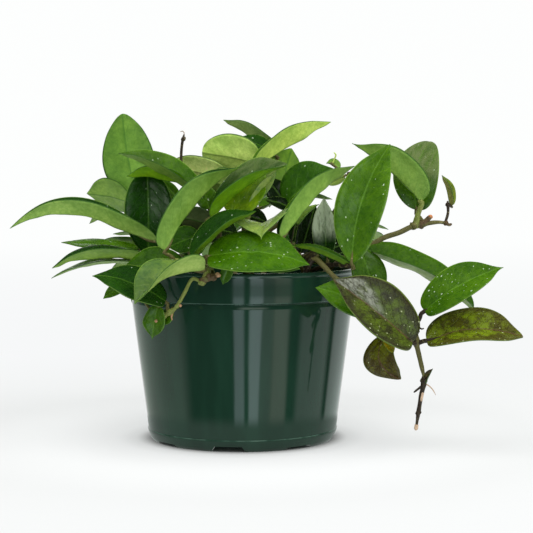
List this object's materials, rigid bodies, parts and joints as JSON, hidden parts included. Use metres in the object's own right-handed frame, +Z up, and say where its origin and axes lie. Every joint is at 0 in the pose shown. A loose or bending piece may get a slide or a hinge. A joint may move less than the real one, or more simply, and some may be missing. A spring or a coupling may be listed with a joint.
{
  "type": "potted plant",
  "caption": "Trailing hoya in a tapered nursery pot: long folded leaves on vines that arch, stand up and hang over the rim.",
  "frame": {"origin": "centre of the pad under the pot, on the surface that it stands on", "axes": "+Z up along the pot's axis; the front, with the leaves that hang over the rim, faces -Y"},
  "size_m": [0.3325, 0.2811, 0.2231],
  "materials": {
    "pot": "glossy dark green moulded plastic",
    "potting_mix": "damp, dark bark and fibre mix",
    "foliage": "waxy, leathery green leaves with pale flecks",
    "mottled_foliage": "waxy olive and bronze leaves with silvery flecks"
  },
  "bodies": {
    "root": {"pot": "pot", "potting_mix": "potting_mix", "vine_left": "foliage", "vine_front_left": "foliage", "vine_tall_left": "foliage", "vine_back_top": "foliage", "vine_middle": "foliage", "vine_front": "foliage", "vine_right_middle": "foliage", "vine_right_trailing": "mottled_foliage", "vine_right_reaching": "foliage", "vine_back_left_low": "foliage", "vine_back_left_high": "foliage", "vine_back_low": "foliage", "vine_back_high": "foliage", "vine_back_right_low": "foliage", "vine_back_right_high": "foliage"}
  },
  "joints": []
}
